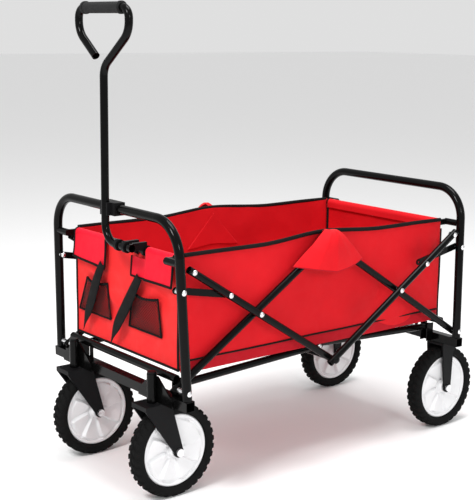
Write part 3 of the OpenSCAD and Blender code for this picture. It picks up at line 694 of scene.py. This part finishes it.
edges = (
    ("flap_left_inner_edge", left_points[-1, EDGE_FROM:], ACROSS_X),
    ("flap_left_outer_edge", left_points[0, EDGE_FROM:], ACROSS_X),
    ("flap_low_inner_edge", low_points[0], ACROSS_X),
    ("flap_low_hem_edge", low_points[:, 0], ACROSS_Y),
    ("flap_right_outer_edge", right_points[-1, EDGE_FROM:], ACROSS_X),
)
for label, line, hint in edges:
    path = resample(line + (0, -0.0006, 0.0004), 40)
    trim(swept(label, path, 0.0022, 10, up_hint=hint), body="front_frame")
print("hems", len(hems) + 1)

# %% Corner and bottom seams of the front and rear panels
# each end's name, plane, outward direction, body and radius of its corner seams
ENDS = (("front", FRONT_Y, -1, "front_frame", 0.0026), ("rear", REAR_Y, 1, "rear_frame", 0.0040))
for sign, tag in SIDES:
    z = np.linspace(FLOOR_Z + 0.002, 0.474, 40)
    x = sign * (0.1868 + 0.0008 * ripples(z, z * 0, 51, 6, 0.05, 0.2))
    for end, plane, out, body, radius in ENDS:
        path = np.stack([x, np.full_like(z, plane + out * 0.0008), z], -1)
        trim(swept(f"corner_seam_{end}_{tag}", path, radius, 10, up_hint=ACROSS_Y), body=body)
x = np.linspace(-0.186, 0.186, 80)
for end, plane, out, body, _ in ENDS:
    path = np.stack([x, np.full_like(x, plane + out * 0.0006), FLOOR_Z + 0.004 + 0 * x], -1)
    trim(swept(f"bottom_seam_{end}", path, 0.0026, 10), body=body)
print("trims so far", len(trims))

# %% [markdown]
# ## Pockets and straps
# Two net pockets stand out from the front panel where their elastic tops gather them,
# and two black webbing straps hang from under the hems at a slant, cut to a point.

# %% Pockets
def pocket(name, top, bottom, seed):
    """A net pocket: straight at its seams, and standing out most under its top edge.

    Top and bottom are (x0, x1, z) of those edges.
    """
    u = np.linspace(0, 1, 50)[:, None]
    v = np.linspace(0, 1, 36)[None, :]
    out = 0.0105 * np.sin(math.pi * u) ** 0.7 * np.sin(0.80 * math.pi * v) ** 0.9
    out = out + 0.0008 * ripples(u * 0.1, v * 0.07, seed, 8, 0.02, 0.06) * np.sin(math.pi * u)
    low, high = bottom[0] + (bottom[1] - bottom[0]) * u, top[0] + (top[1] - top[0]) * u
    x = low + (high - low) * v
    z = bottom[2] + (top[2] - bottom[2]) * v - 0.005 * np.sin(math.pi * u) * v
    y = FRONT_Y - 0.0042 - out
    points = np.stack(np.broadcast_arrays(x, y, z), -1)
    made = surface(name, points, uvs=panel_uv(points, 0, 2), flip=True)
    thicken(made, 0.0006)
    dress(made, MESH)
    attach(made, "front_frame")
    ribs = 0.0027 + 0.0004 * np.sin(np.linspace(0, 70, 60))
    trim(swept(f"{name}_elastic", resample(points[:, -1], 60), ribs, 10), body="front_frame")
    raised = points + (0, -0.0004, 0)
    trim(swept(f"{name}_bottom", resample(raised[:, 0], 50), 0.0022, 8), body="front_frame")
    for tag, line in (("side_a", raised[0]), ("side_b", raised[-1])):
        path = resample(line, 40)
        trim(swept(f"{name}_{tag}", path, 0.0020, 8, up_hint=ACROSS_Y), body="front_frame")
    return made


pocket_left = pocket("pocket_left", (-0.139, -0.060, 0.396), (-0.172, -0.048, 0.323), 61)
pocket("pocket_right", (0.036, 0.124, 0.398), (0.022, 0.136, 0.325), 62)
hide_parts("mesh_pockets")
print("pockets", 2)

# %% Straps
def strap(name, top, bottom, width, seed):
    """A webbing strap that tapers to a point at its end and curls a little away from the panel."""
    t = np.linspace(0, 1, 50)[:, None]
    s = np.linspace(-0.5, 0.5, 9)[None, :]
    top, bottom = np.asarray(top, float), np.asarray(bottom, float)
    along = (bottom - top) / np.linalg.norm(bottom - top)
    across = np.cross(along, (0, 1, 0))
    fullness = 0.72 + 0.5 * np.sin(math.pi * np.clip(t * 1.15, 0, 1)) * 0.6
    wide = width * fullness * smooth_step((1.02 - t) / 0.35)
    curl = 0.006 * np.sin(math.pi * t) + 0.002 * np.sin(7 * t + seed)
    centre = top + (bottom - top) * t
    points = centre[:, None] + across * (wide * s)[..., None]
    points[..., 1] -= curl + 0.003 * np.cos(math.pi * s) * (1 - t)
    made = surface(name, points, uvs=np.stack(np.broadcast_arrays(t * 0.17, s * width), -1))
    thicken(made, 0.0016)
    dress(made, WEB)
    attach(made, "front_frame")


STRAP_WIDTH = 0.027
TOP_Y, POINT_Y = FRONT_Y - 0.0125, FRONT_Y - 0.0135
strap("strap_left", (-0.062, TOP_Y, 0.440), (-0.139, POINT_Y, 0.284), STRAP_WIDTH, 1)
strap("strap_right", (0.074, TOP_Y, 0.436), (-0.034, POINT_Y, 0.274), STRAP_WIDTH, 2)
print("straps", 2)

# %% [markdown]
# ## Flaps over the middle pivots
# Where the scissors cross the rim, a triangular flap of the same cloth is draped from
# the rim over the top pivot, so that the moving bars don't pinch a hand. It starts
# narrow at the rim, widens over the bars, and turns with one of them when the wagon
# folds. A second, flat triangle is sewn inside.

# %% Middle flaps
FLAP_TOP_X, FLAP_TOP_Z = 0.1935, 0.507
# the hem's outline at five places along the bars: distance out, place along Y, and height
FLAP_HEM = (
    (0.212, 0.231, 0.238, 0.236, 0.231),
    (-0.118, -0.069, -0.019, 0.023, 0.059),
    (0.446, 0.437, 0.428, 0.434, 0.446),
)


def draped_flap(name, sign):
    """A flap from the rim over the pivot: u runs along the bars, and v from the rim to the hem.

    It goes out over the pivot on a quarter of a sine wave, then falls to the hem on a smooth step.
    """
    u = np.linspace(0, 1, 60)
    v = np.linspace(0, 1, 44)[None, :]
    at = np.linspace(0, 1, 5)
    hem_x, hem_y, hem_z = [np.interp(u, at, row)[:, None] for row in FLAP_HEM]
    top_y = (-0.024 + 0.012 * u)[:, None]
    over = np.sin(0.5 * math.pi * np.clip(v / 0.62, 0, 1))
    sag = 0.0010 * ripples(u[:, None] * 0.2, v * 0.1, 71, 8, 0.03, 0.12) * v
    x = FLAP_TOP_X + (hem_x - FLAP_TOP_X) * over + sag
    drop = smooth_step((v - 0.28) / 0.95) ** 0.9
    fall = drop / smooth_step(np.array(0.72 / 0.95)) ** 0.9
    y = top_y + (hem_y - top_y) * (0.10 * v + 0.90 * fall ** 0.8)
    hump = 0.006 * np.sin(math.pi * np.clip(v / 0.6, 0, 1))
    z = FLAP_TOP_Z + hump + (hem_z - FLAP_TOP_Z) * fall
    points = np.stack(np.broadcast_arrays(sign * x, y, z), -1)
    made = surface(name, points, uvs=panel_uv(points, 1, 2), flip=sign < 0)
    thicken(made, CLOTH_THICK)
    dress(made, RED)
    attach(made, "c_bars")
    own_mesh(made)
    edge = swept(f"{name}_hem", resample(points[:, -1], 70), 0.0012, 8, up_hint=ACROSS_X)
    trim(edge, RED_DEEP, body="c_bars")
    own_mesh(edge)


def inner_patch(name, sign):
    """A flat triangle inside a side: its rows widen from a point under the rim to its base."""
    u = np.linspace(-1, 1, 40)[:, None]
    v = np.linspace(0, 1, 30)[None, :]
    half = 0.004 + 0.071 * v
    y = MID_Y + u * half
    z = 0.490 - 0.074 * v + 0.003 * np.cos(math.pi * u)
    x = sign * (SIDE_X - 0.0016) + 0 * (y + z)
    points = np.stack(np.broadcast_arrays(x, y, z), -1)
    made = surface(name, points, uvs=panel_uv(points, 1, 2), flip=sign > 0)
    thicken(made, CLOTH_THICK)
    dress(made, RED)
    fold_up(made)


for sign, tag in SIDES:
    draped_flap(f"middle_flap_{tag}", sign)
    inner_patch(f"inner_patch_{tag}", sign)
print("middle flaps and patches", 4)

# %% [markdown]
# ## The floor
# The floor is a stiffened pad in two halves that fold up against each other with the
# floor tubes. It is padded cloth over board, so it is a thin box with soft edges and
# quilting lines, and as the wagon folds each half is drawn up towards the middle hinge.

# %% Floor pads
def pad(name, node, body):
    """A padded board: a closed grid whose top swells between its stitched lines."""
    lo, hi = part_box(node)
    nx, ny = 60, 60
    x = np.linspace(lo.x, hi.x, nx)[:, None]
    y = np.linspace(lo.y, hi.y, ny)[None, :]
    edge = np.minimum(np.minimum(x - lo.x, hi.x - x), np.minimum(y - lo.y, hi.y - y))
    round_off = smooth_step(edge / 0.006)
    quilt = np.abs(np.sin((x - lo.x) / (hi.x - lo.x) * 4 * math.pi)) ** 0.35
    top = lo.z + (hi.z - lo.z) * (0.35 + 0.65 * round_off * (0.8 + 0.2 * quilt))
    bottom = lo.z + (hi.z - lo.z) * 0.35 * (1 - round_off)
    upper = np.stack(np.broadcast_arrays(x, y, top), -1)
    lower = np.stack(np.broadcast_arrays(x, y, bottom), -1)[:, ::-1]
    ring = np.concatenate([upper, lower], 1)
    made = surface(name, ring, wrap_v=True, uvs=panel_uv(ring, 0, 1), flip=True)
    dress(made, RED_DEEP)
    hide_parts(node)
    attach(made, body)
    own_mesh(made)


pad("floor_pad_a", "floor_pad_front", "front_floor")
pad("floor_pad_b", "floor_pad_rear", "rear_floor")
print("floor pads", 2)

# %% [markdown]
# ## Wheels
# The tyres are foam rubber with a moulded tread. The tread is a height pattern on a
# turned surface: slanted blocks whose grooves are a few millimetres deep, mirrored
# about the middle. The disc is a dish with swept vanes between the hub and the rim.
# Both replace their CAD nodes, which have the same size and place.

# %% Tyre
WHEELS = (
    ("front_left", "wheel_front_left"), ("front_right", "wheel_front_right"),
    ("rear_left", "wheel_rear_left"), ("rear_right", "wheel_rear_right"),
)


TREAD_BLOCKS = 34  # in each of the two rows
TREAD_DEPTH = 0.0030
TYRE_BORE, DISC_R = 0.0752, 0.0750


def tyre_points(centre, half, outer, bore, around=600):
    """Points of a treaded tyre about the X axis.

    Its half section runs from the bead up the wall and over the shoulder to the middle, as shares
    of the half width and radii, and is mirrored. The grooves between the blocks are cut into it.
    """
    section = np.array([
        (-0.80, bore), (-0.93, bore + 0.003), (-1.0, bore + 0.008), (-1.0, outer - 0.010),
        (-0.97, outer - 0.006), (-0.88, outer - 0.0028), (-0.72, outer - 0.001), (-0.5, outer),
        (0.0, outer),
    ])
    steps = [3, 3, 6, 3, 4, 4, 5, 8]
    runs = [np.linspace(section[i], section[i + 1], n, endpoint=False) for i, n in enumerate(steps)]
    half_section = np.concatenate(runs + [section[-1:]])
    profile = np.concatenate([half_section, half_section[-2::-1] * (-1, 1)])
    across, radius = profile[:, 0][None, :], profile[:, 1][None, :]
    turn = np.linspace(0, 2 * math.pi, around, endpoint=False)[:, None]
    shift = np.where(across < 0, 0.5, 0.0)
    lug = (turn * TREAD_BLOCKS / (2 * math.pi) + 0.55 * np.abs(across) + shift) % 1.0
    block = smooth_step((0.34 - np.abs(lug - 0.5)) / 0.07)
    centre_groove = smooth_step((np.abs(across) - 0.06) / 0.05)
    tread = smooth_step((radius - (outer - 0.0085)) / 0.004)
    ring_groove = 1 - 0.8 * smooth_step(1 - np.abs(np.abs(across) - 0.52) / 0.05)
    depth = TREAD_DEPTH * tread * (1 - block * centre_groove * ring_groove)
    r = radius - depth
    x = centre[0] + half * across + 0 * turn
    return np.stack([x, centre[1] + r * np.sin(turn), centre[2] + r * np.cos(turn)], -1)


def wheel_box(tag):
    """Centre, half width and radius of a tyre in the frame."""
    lo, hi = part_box(f"tyre_{tag}")
    return (lo + hi) / 2, (hi.x - lo.x) / 2, (hi.z - lo.z) / 2


for tag, body in WHEELS:
    centre, half, outer = wheel_box(tag)
    points = tyre_points(centre, half, outer, TYRE_BORE)
    tyre = surface(f"treaded_tyre_{tag}", points, wrap_u=True, wrap_v=True)
    dress(tyre, RUBBER)
    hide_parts(f"tyre_{tag}")
    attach(tyre, body)
print("tyres", len(WHEELS), "with blocks", TREAD_BLOCKS * 2)

# %% Wheel disc
VANES = 8
VANE_SWEEP = 4.0  # turns of the pattern in a metre of radius
DISC_BORE = 0.0055


def disc_points(centre, side, outer, around=320, rings=64):
    """One face of a disc, out along +X or -X.

    A hub boss, swept vanes that each rise along the turn and then drop, and a raised rim stand on
    a dished web.
    """
    hub_radii, web_radii = np.linspace(0.0056, 0.013, 8), np.linspace(0.0135, outer, rings)
    r = np.concatenate([[DISC_BORE], hub_radii, web_radii])[None, :]
    turn = np.linspace(0, 2 * math.pi, around, endpoint=False)[:, None]
    web = 0.0085 + 0.002 * smooth_step((r - 0.02) / 0.05)
    hub = (0.0205 - web) * smooth_step((0.0165 - r) / 0.004)
    rim = (0.0150 - web) * smooth_step((r - 0.0655) / 0.003)
    phase = (turn * VANES / (2 * math.pi) + VANE_SWEEP * (r - 0.02)) % 1.0
    blade = phase * smooth_step((1 - phase) / 0.14)
    ridge = blade * smooth_step((r - 0.016) / 0.010) * smooth_step((0.067 - r) / 0.006)
    height = web - 0.003 + hub + rim + 0.0085 * ridge
    # the rolled edge of the rim
    height = height - 0.003 * smooth_step((r - (outer - 0.0025)) / 0.0025)
    x = centre[0] + side * height
    return np.stack([x, centre[1] + r * np.sin(turn), centre[2] + r * np.cos(turn)], -1)


for tag, body in WHEELS:
    centre = wheel_box(tag)[0]
    faces = [disc_points(centre, side, DISC_R) for side in (-1, 1)]
    ring = np.concatenate([faces[0], faces[1][:, ::-1]], 1)
    disc = surface(f"vaned_disc_{tag}", ring, wrap_u=True, wrap_v=True)
    dress(disc, WHITE)
    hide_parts(f"disc_{tag}")
    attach(disc, body)
print("discs", len(WHEELS))

# %% [markdown]
# ## Light and floor
# Product light is soft and comes from everywhere: a pale floor, a bright plain sky and
# three broad lamps. The long highlight down each tube comes from the lamps' size.

# %% Stage
FLOOR_HALF = 30.0
SKY_STRENGTH = 0.74

corners = np.array([(-1, -1, 0), (1, -1, 0), (1, 1, 0), (-1, 1, 0)]) * FLOOR_HALF
floor = mesh_object("floor", corners, np.array([[0, 1, 2, 3]]))
floor.data.materials.append(material("pale_floor", (0.93, 0.93, 0.93), 0.9, Specular_IOR_Level=0.1)[0])

world = bpy.data.worlds.new("sky")
bpy.context.scene.world = world
world.use_nodes = True
sky = world.node_tree.nodes["Background"]
sky.inputs["Color"].default_value = (1, 1, 1, 1)
sky.inputs["Strength"].default_value = SKY_STRENGTH


def lamp(name, place, target, size, power):
    """A large square lamp aimed at a point."""
    data = bpy.data.lights.new(name, "AREA")
    data.shape = "SQUARE"
    data.size = size
    data.energy = power
    made = bpy.data.objects.new(name, data)
    bpy.context.scene.collection.objects.link(made)
    made.location = place
    made.rotation_euler = (Vector(target) - Vector(place)).to_track_quat("-Z", "Y").to_euler()


lamp("key", (0.7, -2.3, 2.5), (0, 0, 0.35), 0.7, 58)
lamp("top", (0.3, 0.2, 3.2), (0, 0, 0.3), 1.4, 60)
lamp("fill", (3.0, -0.9, 1.7), (0, 0, 0.35), 0.6, 24)
bpy.context.scene.view_settings.view_transform = "Standard"
print("lamps", 3)
